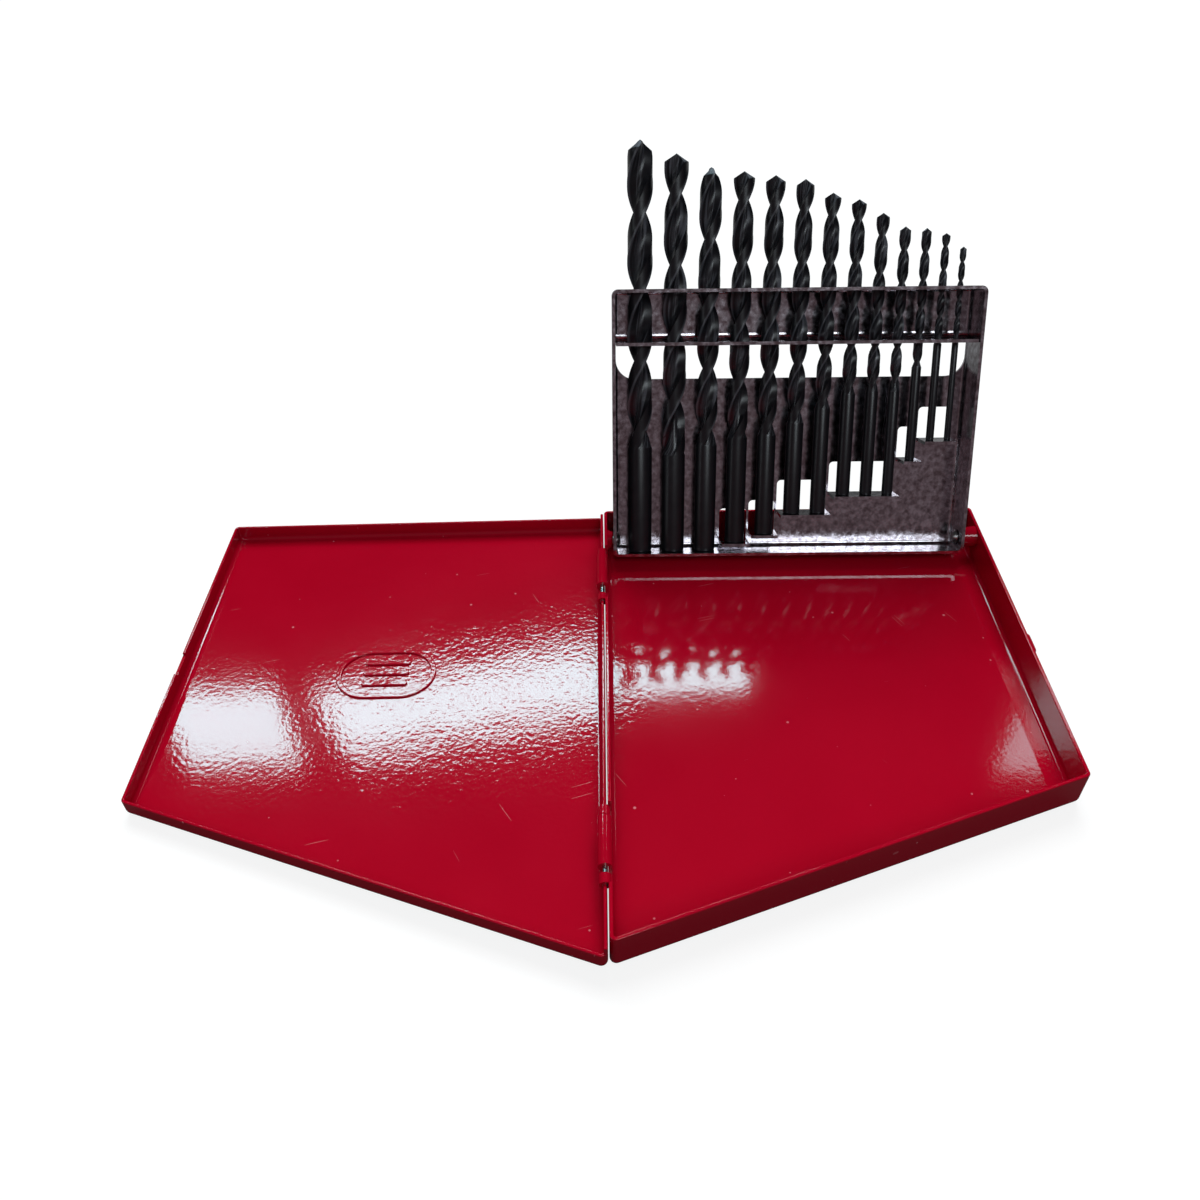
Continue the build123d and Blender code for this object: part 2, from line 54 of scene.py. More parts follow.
# ------------------------------------------------------------------ the drills' sizes
# name: (diameter in 64ths of an inch, overall inches, flute inches as the photo shows
# them, height of the seat in mm, roll about the drill's axis in degrees)
DRILLS = {
    "drill_16_64_inch": (16, 4.000, 2.92, 0.8, 133),
    "drill_15_64_inch": (15, 3.875, 2.87, 0.8, 25),
    "drill_14_64_inch": (14, 3.750, 2.65, 0.8, 126),
    "drill_13_64_inch": (13, 3.625, 2.54, 3.0, 170),
    "drill_12_64_inch": (12, 3.500, 2.48, 5.2, 131),
    "drill_11_64_inch": (11, 3.250, 2.32, 10.6, 125),
    "drill_10_64_inch": (10, 3.125, 2.05, 10.6, 127),
    "drill_9_64_inch": (9, 2.875, 1.85, 15.4, 126),
    "drill_8_64_inch": (8, 2.750, 1.70, 15.4, 115),
    "drill_7_64_inch": (7, 2.625, 1.58, 15.4, 83),
    "drill_6_64_inch": (6, 2.250, 1.32, 24.5, 129),
    "drill_5_64_inch": (5, 2.000, 1.05, 29.6, 118),
    "drill_4_64_inch": (4, 1.875, 0.92, 29.6, 82),
}
FLUTE_PITCH = 5.6          # in drill diameters
WEB = 0.18                 # in drill diameters
LAND_ANGLE = 76.0          # degrees
POINT_ANGLE = 118.0        # degrees
BODY_CLEARANCE = 0.965     # radius behind the margins, as a share of the full radius
MARGIN_START = 0.72        # share of the land, counted from its heel
MARGIN_BARE = 0.07         # share of the fluted length over which the margins look plain
RUN_OUT = 2.1              # length of the flutes' run-out, in drill diameters
LIP_RELIEF = 0.22          # fall of the point behind its lips, in radii
SHANK_CHAMFER = 0.045      # in drill diameters
CREASE_ANGLE = 28          # degrees
WELD_DISTANCE = 2e-6

# the raised rack's places for them, the same as in the CAD
RACK_LEFT = -47.395 * MM
LEFT_MARGIN = 3.9 * MM
DRILL_WEB = 2.7 * MM
DRILL_OFFSET = 5.2 * MM
SEAT_GAP = 0.02 * MM
RACK_LEAN = 25.0           # degrees
PIVOT_UP = 3.8 * MM
PIVOT_FORWARD = 5.8 * MM


# ------------------------------------------------------------------ node trees as sums
class Field:
    """A number in a node tree, so that a formula can be written as one."""

    def __init__(self, tree, socket):
        self.tree = tree
        self.socket = socket

    def math(self, operation, *others, clamp=False):
        node = self.tree.nodes.new("ShaderNodeMath")
        node.operation = operation
        node.use_clamp = clamp
        for place, value in enumerate((self,) + others):
            if isinstance(value, Field):
                self.tree.links.new(value.socket, node.inputs[place])
            else:
                node.inputs[place].default_value = value
        return Field(self.tree, node.outputs[0])

    def __add__(self, other):
        return self.math("ADD", other)

    __radd__ = __add__

    def __mul__(self, other):
        return self.math("MULTIPLY", other)

    __rmul__ = __mul__

    def __sub__(self, other):
        return self.math("SUBTRACT", other)

    def __rsub__(self, other):
        return (self * -1.0) + other

    def __truediv__(self, other):
        return self.math("DIVIDE", other)

    def __rtruediv__(self, other):
        return self.math("POWER", -1.0) * other

    def inverse(self):
        return self.math("POWER", -1.0)

    def above(self, other):
        """1 where it is more than the other, otherwise 0."""
        return self.math("GREATER_THAN", other)

    def below(self, other):
        """1 where it is less than the other, otherwise 0."""
        return self.math("LESS_THAN", other)

    def clamped(self):
        return self.math("ADD", 0.0, clamp=True)

    def smooth(self):
        """0 to 1 with level ends."""
        held = self.clamped()
        return held * held * (3.0 - 2.0 * held)


def feed(tree, node, links):
    """Give a node's inputs, by name, as values, sockets or Fields."""
    for name, value in links.items():
        socket = node.inputs[name.replace("_", " ")]
        if isinstance(value, Field):
            value = value.socket
        if isinstance(value, bpy.types.NodeSocket):
            tree.links.new(value, socket)
        else:
            socket.default_value = value
    return node


def add_node(tree, kind, settings=None, **links):
    """A node with its settings and inputs."""
    node = tree.nodes.new(kind)
    for name, value in (settings or {}).items():
        setattr(node, name, value)
    return feed(tree, node, links)


# ------------------------------------------------------------------ twist drill form
COLUMNS_FLUTE = 14         # columns over one flute
COLUMNS_LAND = 10          # columns over one land
ROWS_SHANK = 3             # end face, chamfer and plain shank
ROWS_FLUTED = 110
ROWS_POINT = 5
FORM_SIZES = ("Diameter", "Length", "Flute Length", "Flute Pitch", "Web", "Land Angle", "Point Angle")


def drill_form():
    """Node group: a twist drill standing on its shank at the origin."""
    tree = bpy.data.node_groups.new("twist_drill_form", "GeometryNodeTree")
    shape = tree.interface
    shape.new_socket("Geometry", in_out="OUTPUT", socket_type="NodeSocketGeometry")
    for name in FORM_SIZES:
        shape.new_socket(name, in_out="INPUT", socket_type="NodeSocketFloat")
    shape.new_socket("Material", in_out="INPUT", socket_type="NodeSocketMaterial")
    given = tree.nodes.new("NodeGroupInput")

    def size(name):
        return Field(tree, given.outputs[name])

    rows = ROWS_SHANK + ROWS_FLUTED + ROWS_POINT
    columns = 2 * (COLUMNS_FLUTE + COLUMNS_LAND)
    grid = add_node(
        tree, "GeometryNodeMeshGrid", Size_X=1.0, Size_Y=1.0, Vertices_X=columns + 1, Vertices_Y=rows + 1
    )
    place = add_node(tree, "GeometryNodeInputPosition")
    split = add_node(tree, "ShaderNodeSeparateXYZ", Vector=place.outputs[0])
    across = Field(tree, split.outputs["X"]) + 0.5
    row = ((Field(tree, split.outputs["Y"]) + 0.5) * float(rows)).math("ROUND")

    radius = size("Diameter") / 2.0
    land = size("Land Angle").math("RADIANS")
    flute_half = (math.pi - land) / 2.0
    half_web = size("Web") * size("Diameter") / 2.0

    # angle round the section, in each half: a flute, then a land
    halves = (across * float(columns)).math("ROUND") / float(columns // 2)
    half = halves.math("FLOOR")
    part = halves - half
    flute_share = COLUMNS_FLUTE / (COLUMNS_FLUTE + COLUMNS_LAND)
    in_land = (part - (flute_share + 0.001)).above(0.0)
    flute_part = (part / flute_share).clamped()
    land_part = ((part - flute_share) / (1.0 - flute_share)).clamped()
    around = (flute_part * 2.0 - 1.0) * flute_half + land_part * land

    # hollow flute: an arc through both land edges and the web
    chord = 2.0 * (radius * flute_half.math("COSINE") - half_web)
    reach = (radius * radius - half_web * half_web) / chord
    arc = reach - half_web
    sine = around.math("SINE") * reach
    root = (arc * arc - sine * sine).math("MAXIMUM", 0.0).math("SQRT")
    hollow = around.math("COSINE") * reach - root
    # body clearance: the land stands full size only at its leading margin
    cleared = radius * BODY_CLEARANCE
    margin = (land_part - MARGIN_START).above(0.0)
    land_radius = cleared + (radius - cleared) * margin
    heel = around.above(0.0)
    flute_radius = hollow.math("MINIMUM", radius - (radius - cleared) * heel).math("MINIMUM", radius)
    body = flute_radius + (land_radius - flute_radius) * in_land

    # how fast the point falls from its tip, more behind the lips than on them
    shank_length = size("Length") - size("Flute Length")
    cone = (size("Point Angle") / 2.0).math("RADIANS").math("TANGENT")
    relief_share = land_part * -1.0 + 1.0
    behind = (around / flute_half * 0.9 + 0.35).smooth()
    fall = (behind + (relief_share - behind) * in_land) * LIP_RELIEF
    drop_rate = fall + cone.inverse()
    climb = ((row - float(ROWS_SHANK)) / float(ROWS_FLUTED)).clamped()
    shrink = ((row - float(ROWS_SHANK + ROWS_FLUTED)) / float(ROWS_POINT)).clamped()

    # run-out: the flute's floor rises to the shank on the grinding wheel's arc
    side_height = climb * size("Flute Length")
    run_out = (1.0 - side_height / (size("Diameter") * RUN_OUT)).clamped()
    wheel = half_web + (radius - half_web) * run_out * run_out
    wheel = wheel + (radius - wheel) * (row - (ROWS_SHANK + 0.5)).below(0.0)
    side_radius = body.math("MAXIMUM", wheel)
    side_top = size("Length") - side_radius * drop_rate
    side_z = shank_length + climb * (side_top - shank_length)

    tip_radius = side_radius * (1.0 - shrink)
    tip_z = size("Length") - tip_radius * drop_rate
    on_point = shrink.above(0.0)
    chamfer = size("Diameter") * SHANK_CHAMFER
    on_shank = row.below(ROWS_SHANK - 0.5)
    first = row.below(0.5)
    second = row.below(1.5)
    shank_z = (1.0 - second) * chamfer
    shank_radius = (radius - chamfer * second) * (1.0 - first)

    height = side_z + (tip_z - side_z) * on_point
    height = height + (shank_z - height) * on_shank
    width = side_radius + (tip_radius - side_radius) * on_point
    width = width + (shank_radius - width) * on_shank

    twist = (height - shank_length).math("MAXIMUM", 0.0) * (2 * math.pi) / (
        size("Flute Pitch") * size("Diameter")
    )
    angle = around + half * math.pi + twist
    where = add_node(
        tree, "ShaderNodeCombineXYZ",
        X=width * angle.math("COSINE"), Y=width * angle.math("SINE"), Z=height,
    )
    # the grinding lines run along the flutes, and the flute streaks painted light as highlights follow them, so
    # the finish needs its own coordinates, written while the grid is still flat, as its positions are read for
    # them; Z says how deep the flute is, and is 1 more on a margin and 2 more on the point, which is painted
    # lighter as a highlight
    bright_margin = margin * in_land * (climb - MARGIN_BARE).above(0.0)
    lines = add_node(
        tree, "ShaderNodeCombineXYZ", X=across * size("Diameter") * 3.0, Y=height,
        Z=side_radius / radius + bright_margin + on_point * 2.0,
    )
    kept = add_node(
        tree, "GeometryNodeStoreNamedAttribute", {"data_type": "FLOAT_VECTOR", "domain": "POINT"},
        Geometry=grid.outputs["Mesh"], Name="grinding", Value=lines.outputs[0],
    )
    moved = add_node(
        tree, "GeometryNodeSetPosition", Geometry=kept.outputs[0], Position=where.outputs[0]
    )
    joined = add_node(
        tree, "GeometryNodeMergeByDistance", Geometry=moved.outputs[0], Distance=WELD_DISTANCE
    )
    smooth = add_node(
        tree, "GeometryNodeSetShadeSmooth", {"domain": "FACE"},
        Geometry=joined.outputs[0], Shade_Smooth=True,
    )
    edge = add_node(tree, "GeometryNodeInputMeshEdgeAngle")
    sharp = Field(tree, edge.outputs["Unsigned Angle"]).above(math.radians(CREASE_ANGLE))
    crisp = add_node(
        tree, "GeometryNodeSetShadeSmooth", {"domain": "EDGE"},
        Geometry=smooth.outputs[0], Selection=sharp, Shade_Smooth=False,
    )
    real = add_node(tree, "GeometryNodeRealizeInstances", Geometry=crisp.outputs[0])
    painted = add_node(
        tree, "GeometryNodeSetMaterial", Geometry=real.outputs[0], Material=given.outputs["Material"]
    )
    out = tree.nodes.new("NodeGroupOutput")
    tree.links.new(painted.outputs[0], out.inputs[0])
    return tree


def made_by(tree, name, **inputs):
    """A plain mesh object from a geometry tree and its inputs."""
    carrier = bpy.data.objects.new(name, bpy.data.meshes.new(name))
    bpy.context.scene.collection.objects.link(carrier)
    modifier = carrier.modifiers.new("form", "NODES")
    modifier.node_group = tree
    sockets = {
        item.name: item.identifier for item in tree.interface.items_tree if item.in_out == "INPUT"
    }
    for title, value in inputs.items():
        modifier[sockets[title.replace("_", " ")]] = value
    shown = carrier.evaluated_get(bpy.context.evaluated_depsgraph_get())
    mesh = bpy.data.meshes.new_from_object(shown)
    carrier.modifiers.clear()
    carrier.data = mesh
    mesh.name = name
    return carrier


# ------------------------------------------------------------------ shared shader groups
def shader_group(name, inputs, outputs):
    """A shader node group; its inputs are (title, socket type, value or None)."""
    tree = bpy.data.node_groups.new(name, "ShaderNodeTree")
    for title, kind, value in inputs:
        socket = tree.interface.new_socket(title, in_out="INPUT", socket_type=kind)
        if value is not None:
            socket.default_value = value
    for title, kind in outputs:
        tree.interface.new_socket(title, in_out="OUTPUT", socket_type=kind)
    return tree, tree.nodes.new("NodeGroupInput"), tree.nodes.new("NodeGroupOutput")


def mottling_group():
    """Soft blotches: a value that wanders between 0 and 1."""
    tree, given, out = shader_group(
        "mottling",
        [
            ("Vector", "NodeSocketVector", None),
            ("Size", "NodeSocketFloat", 0.002),
            ("Contrast", "NodeSocketFloat", 2.0),
        ],
        [("Value", "NodeSocketFloat")],
    )
    noise = add_node(
        tree, "ShaderNodeTexNoise", Vector=given.outputs["Vector"],
        Scale=Field(tree, given.outputs["Size"]).inverse(), Detail=3.0, Roughness=0.6,
    )
    contrast = Field(tree, given.outputs["Contrast"])
    value = (Field(tree, noise.outputs["Fac"]) - 0.5) * contrast + 0.5
    tree.links.new(value.clamped().socket, out.inputs["Value"])
    return tree


SPECK_CHANCE = 0.55                # share of the cells that hold a speck
SCRATCH_WIDTH = 0.00009
SCRATCH_WANDER = (0.003, 0.003, 0.0)
SCRATCH_SQUEEZE = (0.03, 1.0, 0.2)
SCRATCH_TURNS = (0.45, -0.9)       # radians


def handling_marks_group():
    """Dust specks and hairline scratches, as masks."""
    tree, given, out = shader_group(
        "handling_marks",
        [
            ("Vector", "NodeSocketVector", None),
            ("Speck Spacing", "NodeSocketFloat", 0.004),
            ("Speck Size", "NodeSocketFloat", 0.00033),
            ("Scratch Spacing", "NodeSocketFloat", 0.0016),
            ("Turn", "NodeSocketFloat", 0.6),
        ],
        [("Specks", "NodeSocketFloat"), ("Scratches", "NodeSocketFloat")],
    )
    spacing = Field(tree, given.outputs["Speck Spacing"])
    cells = add_node(
        tree, "ShaderNodeTexVoronoi", {"feature": "F1"},
        Vector=given.outputs["Vector"], Scale=spacing.inverse(), Randomness=1.0,
    )
    near = Field(tree, given.outputs["Speck Size"]) / spacing
    chance = add_node(tree, "ShaderNodeSeparateColor", Color=cells.outputs["Color"])
    lucky = Field(tree, chance.outputs[0])
    specks = (near * lucky - Field(tree, cells.outputs["Distance"])).above(0.0)
    rare = (Field(tree, chance.outputs[1]) - (1.0 - SPECK_CHANCE)).above(0.0)
    tree.links.new((specks * rare).socket, out.inputs["Specks"])

    # a scratch is a round speck in a space squeezed along one direction
    bend = add_node(
        tree, "ShaderNodeTexNoise", Vector=given.outputs["Vector"], Scale=45.0, Detail=0.0
    )
    wander = add_node(
        tree, "ShaderNodeVectorMath", {"operation": "MULTIPLY_ADD"}, Vector=bend.outputs["Color"]
    )
    wander.inputs[1].default_value = SCRATCH_WANDER
    tree.links.new(given.outputs["Vector"], wander.inputs[2])
    bent = wander.outputs[0]
    spread = Field(tree, given.outputs["Scratch Spacing"])
    found = None
    for turn in SCRATCH_TURNS:
        turned = add_node(
            tree, "ShaderNodeVectorRotate", {"rotation_type": "Z_AXIS"}, Vector=bent,
            Angle=Field(tree, given.outputs["Turn"]) + turn,
        )
        squeezed = add_node(
            tree, "ShaderNodeMapping", Vector=turned.outputs[0], Scale=SCRATCH_SQUEEZE
        )
        long_cells = add_node(
            tree, "ShaderNodeTexVoronoi", {"feature": "F1"}, Vector=squeezed.outputs[0],
            Scale=spread.inverse(), Randomness=1.0,
        )
        pick = add_node(tree, "ShaderNodeSeparateColor", Color=long_cells.outputs["Color"])
        thin = Field(tree, pick.outputs[0]) * (SCRATCH_WIDTH / spread)
        line = (thin - Field(tree, long_cells.outputs["Distance"])).above(0.0)
        found = line if found is None else found.math("MAXIMUM", line)
    tree.links.new(found.socket, out.inputs["Scratches"])
    return tree


def orange_peel_group():
    """The ripple of sprayed and baked enamel, as a height."""
    tree, given, out = shader_group(
        "orange_peel",
        [("Vector", "NodeSocketVector", None), ("Size", "NodeSocketFloat", 0.0016)],
        [("Height", "NodeSocketFloat")],
    )
    scale = Field(tree, given.outputs["Size"]).inverse()
    fine = add_node(
        tree, "ShaderNodeTexNoise", Vector=given.outputs["Vector"], Scale=scale, Detail=1.5
    )
    broad = add_node(
        tree, "ShaderNodeTexNoise", Vector=given.outputs["Vector"], Scale=scale * 0.14, Detail=1.0
    )
    height = Field(tree, fine.outputs["Fac"]) + Field(tree, broad.outputs["Fac"]) * 0.9
    tree.links.new(height.socket, out.inputs["Height"])
    return tree


MOTTLING = mottling_group()
HANDLING_MARKS = handling_marks_group()
ORANGE_PEEL = orange_peel_group()


def use_group(tree, group, **links):
    """A shader group in a material, with its inputs."""
    node = tree.nodes.new("ShaderNodeGroup")
    node.node_tree = group
    return feed(tree, node, links)


# ------------------------------------------------------------------ finishes
# colours are linear
ENAMEL_DEEP, ENAMEL_PLAIN = (0.385, 0.0004, 0.0125, 1), (0.43, 0.0007, 0.0155, 1)
DUST = (0.75, 0.25, 0.28, 1)
ZINC_DARK, ZINC_LIGHT = (0.25, 0.225, 0.24, 1), (0.82, 0.82, 0.88, 1)
ZINC_TARNISH = (0.46, 0.385, 0.40, 1)
OXIDE_DARK, OXIDE_LIGHT = (0.004, 0.004, 0.006, 1), (0.009, 0.009, 0.012, 1)
# light oxide colour: worn margins, and a painted highlight on the flute streaks and the ground point
OXIDE_WORN_AND_HIGHLIGHT = (0.16, 0.165, 0.19, 1)
STEEL_DARK, STEEL_LIGHT = (0.42, 0.41, 0.40, 1), (0.62, 0.61, 0.60, 1)


def new_material(name, viewport_colour):
    """A material with its tree, its Principled node and the object's coordinates."""
    material = bpy.data.materials.new(name)
    material.use_nodes = True
    material.diffuse_color = viewport_colour
    tree = material.node_tree
    tree.nodes.clear()
    surface = tree.nodes.new("ShaderNodeBsdfPrincipled")
    out = tree.nodes.new("ShaderNodeOutputMaterial")
    tree.links.new(surface.outputs[0], out.inputs["Surface"])
    here = tree.nodes.new("ShaderNodeTexCoord").outputs["Object"]
    return material, tree, surface, here


def mixed(tree, share, low, high):
    """Colour between two colours."""
    node = tree.nodes.new("ShaderNodeMix")
    node.data_type = "RGBA"
    share = share.socket if isinstance(share, Field) else share
    tree.links.new(share, node.inputs[0])
    for place, colour in ((6, low), (7, high)):
        if isinstance(colour, bpy.types.NodeSocket):
            tree.links.new(colour, node.inputs[place])
        else:
            node.inputs[place].default_value = colour
    return node.outputs[2]


def add_bump(tree, surface, distance, height):
    bump = add_node(tree, "ShaderNodeBump", Strength=1.0, Distance=distance, Height=height)
    tree.links.new(bump.outputs[0], surface.inputs["Normal"])


def red_enamel():
    material, tree, surface, here = new_material("red_enamel", (0.4, 0.0, 0.02, 1))
    cloud = use_group(tree, MOTTLING, Vector=here, Size=0.03, Contrast=1.6)
    marks = use_group(tree, HANDLING_MARKS, Vector=here)
    peel = use_group(tree, ORANGE_PEEL, Vector=here, Size=0.0011)
    specks = Field(tree, marks.outputs["Specks"])
    dusted = specks * 0.6 + Field(tree, marks.outputs["Scratches"]) * 0.3
    red = mixed(tree, cloud.outputs["Value"], ENAMEL_DEEP, ENAMEL_PLAIN)
    colour = mixed(tree, dusted.clamped(), red, DUST)
    rough = Field(tree, cloud.outputs["Value"]) * 0.02 + dusted * 0.3 + 0.05
    feed(tree, surface, {"Base Color": colour, "Roughness": rough, "IOR": 1.52})
    # the spray is coarsest on the lid beside the hinge, and finer on the base
    along = add_node(tree, "ShaderNodeSeparateXYZ", Vector=here)
    left = Field(tree, along.outputs["X"]) * -1.0
    past_hinge = ((left - 0.036) * 70.0).smooth()
    far_left = ((left - 0.085) * 22.0).smooth()
    coarse = past_hinge * (2.2 - far_left * 1.5) + 0.7
    height = Field(tree, peel.outputs["Height"]) * coarse + specks * 2.0
    add_bump(tree, surface, 0.00001, height)
    return material


def zinc_plate():
    material, tree, surface, here = new_material("zinc_plate", (0.5, 0.5, 0.5, 1))
    blotches = use_group(tree, MOTTLING, Vector=here, Size=0.0014, Contrast=3.0).outputs["Value"]
    clouds = use_group(tree, MOTTLING, Vector=here, Size=0.012, Contrast=2.0).outputs["Value"]
    grey = mixed(tree, blotches, ZINC_DARK, ZINC_LIGHT)
    colour = mixed(tree, Field(tree, clouds) * 0.5, grey, ZINC_TARNISH)
    rough = Field(tree, blotches) * 0.10 + Field(tree, clouds) * 0.06 + 0.09
    feed(tree, surface, {"Base Color": colour, "Metallic": 1.0, "Roughness": rough})
    add_bump(tree, surface, 0.000008, blotches)
    return material


def black_oxide():
    material, tree, surface, here = new_material("black_oxide", (0.02, 0.02, 0.022, 1))
    lines = add_node(tree, "ShaderNodeAttribute", {"attribute_name": "grinding"}).outputs["Vector"]
    stretched = add_node(tree, "ShaderNodeMapping", Vector=lines, Scale=(2600.0, 70.0, 0.0))
    grain = add_node(
        tree, "ShaderNodeTexNoise", Vector=stretched.outputs[0], Scale=1.0, Detail=2.0
    )
    streak = Field(tree, grain.outputs["Fac"])
    # ground flutes are below 0.96, margins stand at 2 and the point from 2.1
    split = add_node(tree, "ShaderNodeSeparateXYZ", Vector=lines)
    mark = Field(tree, split.outputs["Z"])
    ground = mark.below(0.96)
    margin = ((mark - 1.3) * 2.0).smooth()
    point = (mark - 2.4).smooth()
    blotches = use_group(tree, MOTTLING, Vector=here, Size=0.003, Contrast=1.5).outputs["Value"]
    black = mixed(tree, blotches, OXIDE_DARK, OXIDE_LIGHT)
    # painted highlight: the grinding streaks in the flutes and the point are lightened toward the light oxide
    # colour to stand in for their gleam; the margins are lighter from real wear
    highlight_streaks = ((streak - 0.50) * 7.0).smooth() * ground * 0.6
    bright = highlight_streaks.math("MAXIMUM", margin * 0.4 + point * 0.5)
    colour = mixed(tree, bright, black, OXIDE_WORN_AND_HIGHLIGHT)
    rough = Field(tree, blotches) * 0.06 - bright * 0.14 + 0.32
    feed(tree, surface, {"Base Color": colour, "Roughness": rough, "IOR": 1.5})
    add_bump(tree, surface, 0.000015, streak * ground + Field(tree, blotches) * 0.3)
    return material


def plain_steel():
    material, tree, surface, here = new_material("plain_steel", (0.6, 0.6, 0.6, 1))
    blotches = use_group(tree, MOTTLING, Vector=here, Size=0.001, Contrast=2.0).outputs["Value"]
    colour = mixed(tree, blotches, STEEL_DARK, STEEL_LIGHT)
    rough = Field(tree, blotches) * 0.15 + 0.22
    feed(tree, surface, {"Base Color": colour, "Metallic": 1.0, "Roughness": rough})
    return material


FINISHES = {
    "red_enamel": red_enamel(),
    "zinc_plate": zinc_plate(),
    "black_oxide": black_oxide(),
    "plain_steel": plain_steel(),
}

# every CAD node takes the finish of its slot
for part in frame["record"]["subparts"]:
    node = frame["nodes"][part["node"]]
    node.data.materials.clear()
    node.data.materials.append(FINISHES[part["material_slot"]])


# ------------------------------------------------------------------ the drills
def place_drills():
    """Each drill in its holes in the raised rack, in the place of its CAD node."""
    form = drill_form()
    fold = next(joint for joint in frame["joints"] if joint["name"] == "rack_fold")
    lean = Matrix.Rotation(math.radians(-RACK_LEAN), 4, "X")
    rack = Matrix.Translation(Vector(fold["pos_m"])) @ lean
    edge = RACK_LEFT + LEFT_MARGIN
    for name, (size, length, flutes, seat, roll) in DRILLS.items():
        diameter = size * INCH / 64
        drill = made_by(
            form, name.replace("drill", "ground_drill"), Diameter=diameter, Length=length * INCH,
            Flute_Length=flutes * INCH, Flute_Pitch=FLUTE_PITCH, Web=WEB, Land_Angle=LAND_ANGLE,
            Point_Angle=POINT_ANGLE, Material=FINISHES["black_oxide"],
        )
        foot = Vector(
            (edge + diameter / 2, PIVOT_FORWARD - DRILL_OFFSET, seat * MM + SEAT_GAP - PIVOT_UP)
        )
        turned = Matrix.Rotation(math.radians(roll), 4, "Z")
        drill.data.transform(rack @ Matrix.Translation(foot) @ turned)
        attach(drill, name)
        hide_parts(name)
        edge += diameter + DRILL_WEB


place_drills()


# ------------------------------------------------------------------ floor and background
FLOOR_HALF = 6.0
FLOOR_DOWN = -0.05 * MM


def seen_directly(tree, path):
    """1 for rays from the camera, also through anything clear."""
    camera_ray = Field(tree, path.outputs["Is Camera Ray"])
    return camera_ray.math("MAXIMUM", Field(tree, path.outputs["Is Transmission Ray"]))


def floor_material():
    """Nearly white to the camera, with a soft shadow, and dim in reflections and as a light."""
    material = bpy.data.materials.new("studio_floor")
    material.use_nodes = True
    tree = material.node_tree
    tree.nodes.clear()
    path = tree.nodes.new("ShaderNodeLightPath")
    lit = add_node(tree, "ShaderNodeBsdfDiffuse", Color=(0.86, 0.86, 0.86, 1))
    dim = add_node(tree, "ShaderNodeBsdfDiffuse", Color=(0.05, 0.05, 0.05, 1))
    pale = add_node(tree, "ShaderNodeEmission", Color=WHITE, Strength=1.12)
    seen = add_node(tree, "ShaderNodeMixShader", Fac=0.74)
    tree.links.new(lit.outputs[0], seen.inputs[1])
    tree.links.new(pale.outputs[0], seen.inputs[2])
    # mirrored, it is bright only behind the case
    here = tree.nodes.new("ShaderNodeTexCoord").outputs["Object"]
    where = add_node(tree, "ShaderNodeSeparateXYZ", Vector=here)
    behind = ((Field(tree, where.outputs["Y"]) - 0.11) * 6.0).smooth()
    mirrored = Field(tree, path.outputs["Is Glossy Ray"]) * (behind * 0.45 + 0.015)
    share = add_node(
        tree, "ShaderNodeMixShader", Fac=seen_directly(tree, path).math("MAXIMUM", mirrored)
    )
    tree.links.new(dim.outputs[0], share.inputs[1])
    tree.links.new(seen.outputs[0], share.inputs[2])
    out = tree.nodes.new("ShaderNodeOutputMaterial")
    tree.links.new(share.outputs[0], out.inputs["Surface"])
    return material


def studio_floor():
    mesh = bpy.data.meshes.new("studio_floor")
    corners = ((-1, -1), (1, -1), (1, 1), (-1, 1))
    points = [(x * FLOOR_HALF, y * FLOOR_HALF, FLOOR_DOWN) for x, y in corners]
    mesh.from_pydata(points, [], [(0, 1, 2, 3)])
    floor = bpy.data.objects.new("studio_floor", mesh)
    bpy.context.scene.collection.objects.link(floor)
    mesh.materials.append(floor_material())


ROOM_DARK = (0.008, 0.008, 0.01, 1)        # what mirrors show toward the back
ROOM_FRONT = (0.115, 0.082, 0.09, 1)       # and toward the camera
ROOM_FILL = (0.15, 0.15, 0.15, 1)          # what lights the surfaces all round


def studio_world():
    """White where the camera looks at it, and a dim room for light and reflections."""
    world = bpy.data.worlds.new("studio")
    bpy.context.scene.world = world
    world.use_nodes = True
    tree = world.node_tree
    tree.nodes.clear()
    path = tree.nodes.new("ShaderNodeLightPath")
    toward = tree.nodes.new("ShaderNodeTexCoord").outputs["Generated"]
    split = add_node(tree, "ShaderNodeSeparateXYZ", Vector=toward)
    front = (Field(tree, split.outputs["Y"]) * -1.6).smooth()
    room = mixed(tree, front, ROOM_DARK, ROOM_FRONT)
    mirrored = mixed(tree, Field(tree, path.outputs["Is Glossy Ray"]), ROOM_FILL, room)
    colour = mixed(tree, seen_directly(tree, path), mirrored, WHITE)
    back = add_node(tree, "ShaderNodeBackground", Color=colour, Strength=1.0)
    out = tree.nodes.new("ShaderNodeOutputWorld")
    tree.links.new(back.outputs[0], out.inputs["Surface"])


# ------------------------------------------------------------------ lights
DAYLIGHT = (0.52, 0.94, 1.0)
ROOM_LIGHT = (0.85, 0.95, 1.0)
CEILING_STRENGTH = 2.25
CEILING_ANGLE = 40.0       # degrees
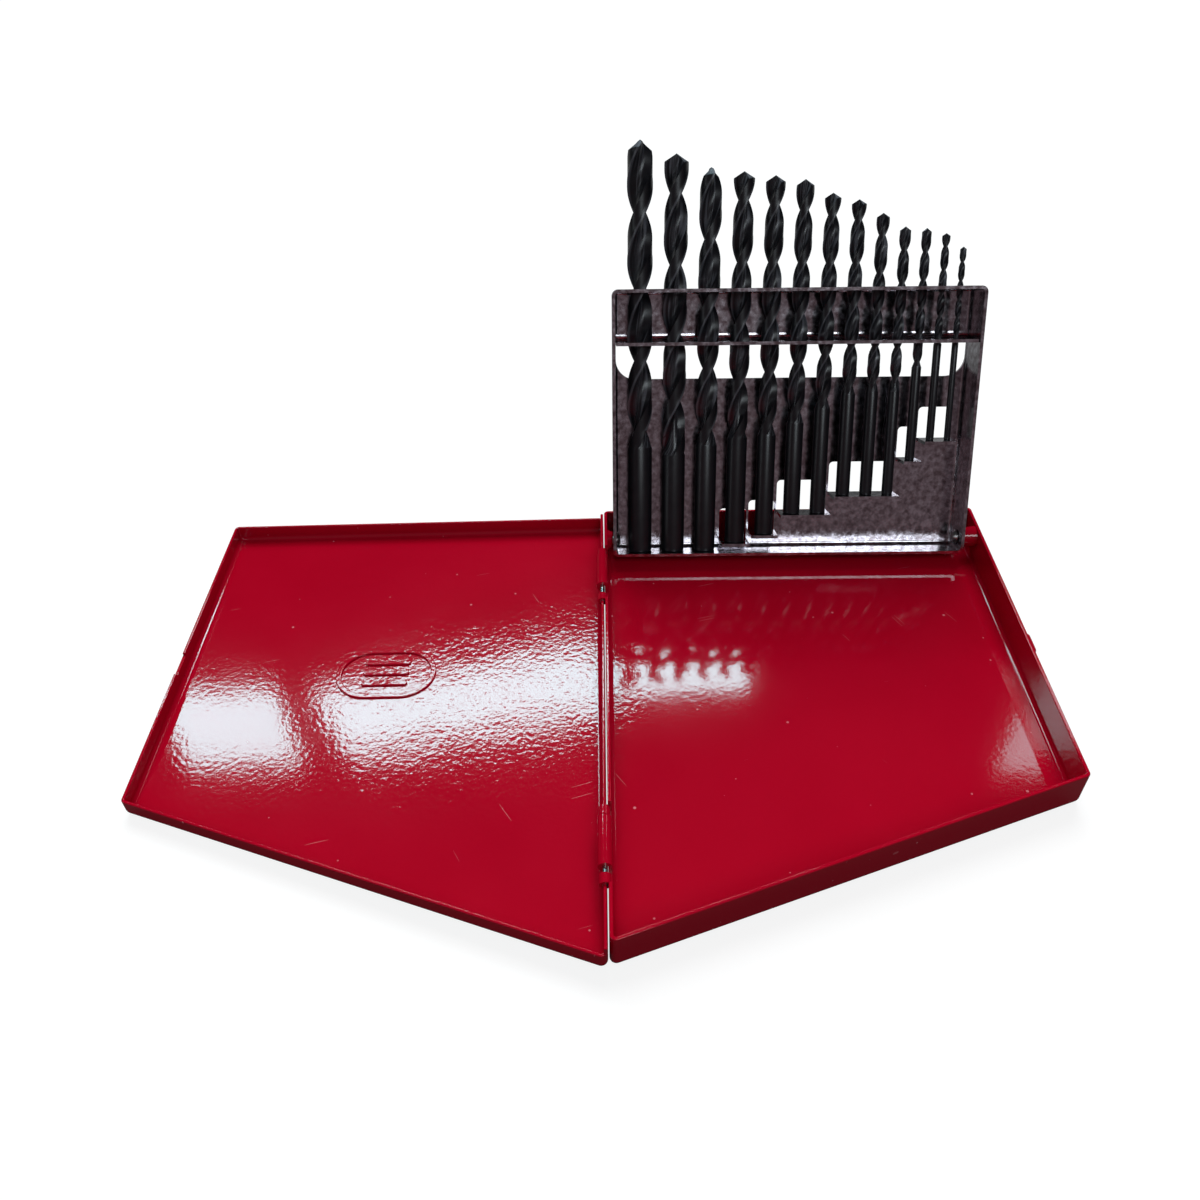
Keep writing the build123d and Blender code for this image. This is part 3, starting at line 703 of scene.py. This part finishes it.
# name: (centre, point it looks at, width, height, radiance, colour, turn in degrees)
PANELS = {
    "window_left": ((-1.030, 1.5, 1.705), (-1.030, 0, 1.705), 0.29, 0.27, 16.5, DAYLIGHT, 0.0),
    "window_middle": ((-0.440, 1.5, 1.640), (-0.440, 0, 1.640), 0.70, 0.235, 18.0, DAYLIGHT, 11.0),
    "window_centre": ((0.100, 1.5, 1.550), (0.100, 0, 1.550), 0.37, 0.14, 17.0, DAYLIGHT, 4.3),
    "window_right": ((1.040, 1.5, 1.765), (1.040, 0, 1.765), 0.16, 0.33, 5.0, DAYLIGHT, 0.0),
    "room_left": ((-1.2, -0.35, 0.40), (0, 0.05, 0.05), 0.15, 0.8, 2.0, ROOM_LIGHT, 0.0),
    "room_front": ((0.25, -0.80, 0.93), (0, 0.05, 0.03), 0.5, 0.40, 6.5, ROOM_LIGHT, 0.0),
}


def add_lamp(name, light, centre, look_at, turn=0.0):
    lamp = bpy.data.objects.new(name, light)
    facing = (Vector(look_at) - Vector(centre)).to_track_quat("-Z", "Y").to_matrix().to_4x4()
    rolled = Matrix.Rotation(math.radians(turn), 4, "Z")
    lamp.matrix_world = Matrix.Translation(centre) @ facing @ rolled
    bpy.context.scene.collection.objects.link(lamp)
    return lamp


def panel_light(name, centre, look_at, width, height, radiance, colour, turn):
    """A rectangular light of a given brightness."""
    light = bpy.data.lights.new(name, "AREA")
    light.shape = "RECTANGLE"
    light.size, light.size_y = width, height
    light.energy = radiance * math.pi * width * height
    light.color = colour
    add_lamp(name, light, centre, look_at, turn)


def ceiling_light():
    """Broad light from above and behind: even over the floor, with no gleam of its own."""
    light = bpy.data.lights.new("ceiling", "SUN")
    light.energy = CEILING_STRENGTH
    light.angle = math.radians(CEILING_ANGLE)
    lamp = add_lamp("ceiling", light, (0, 1.5, 2), (0, 0, 0))
    lamp.visible_glossy = False


studio_floor()
studio_world()
ceiling_light()
for panel, settings in PANELS.items():
    panel_light(panel, *settings)


# ------------------------------------------------------------------ camera
PHOTO_PIXELS = 1200
FOCAL_PIXELS = 1023.355
SENSOR = 36.0              # mm
CAMERA_AT = (-0.050275, -0.159196, 0.178216)
CAMERA_PITCH, CAMERA_YAW, CAMERA_ROLL = 42.066, 0.242, -0.743      # degrees


def camera_turn():
    """The camera's rotation: its columns are right, up and backwards."""
    pitch, yaw, roll = (math.radians(angle) for angle in (CAMERA_PITCH, CAMERA_YAW, CAMERA_ROLL))
    about_up = np.array(
        [[math.cos(yaw), math.sin(yaw), 0], [-math.sin(yaw), math.cos(yaw), 0], [0, 0, 1]]
    )
    to_image = np.array([[1, 0, 0], [0, 0, -1], [0, 1, 0]])
    tilt = np.array(
        [[1, 0, 0], [0, math.cos(pitch), -math.sin(pitch)], [0, math.sin(pitch), math.cos(pitch)]]
    )
    about_view = np.array(
        [[math.cos(roll), -math.sin(roll), 0], [math.sin(roll), math.cos(roll), 0], [0, 0, 1]]
    )
    right, down, ahead = about_view @ tilt @ to_image @ about_up
    return Matrix((right, -down, -ahead)).transposed().to_4x4()


def camera():
    data = bpy.data.cameras.new("camera")
    data.sensor_width = SENSOR
    data.lens = FOCAL_PIXELS / PHOTO_PIXELS * SENSOR
    data.clip_start, data.clip_end = 0.01, 50.0
    eye = bpy.data.objects.new("camera", data)
    eye.matrix_world = Matrix.Translation(CAMERA_AT) @ camera_turn()
    bpy.context.scene.collection.objects.link(eye)
    bpy.context.scene.camera = eye


camera()
scene = bpy.context.scene
scene.view_settings.view_transform = "Standard"
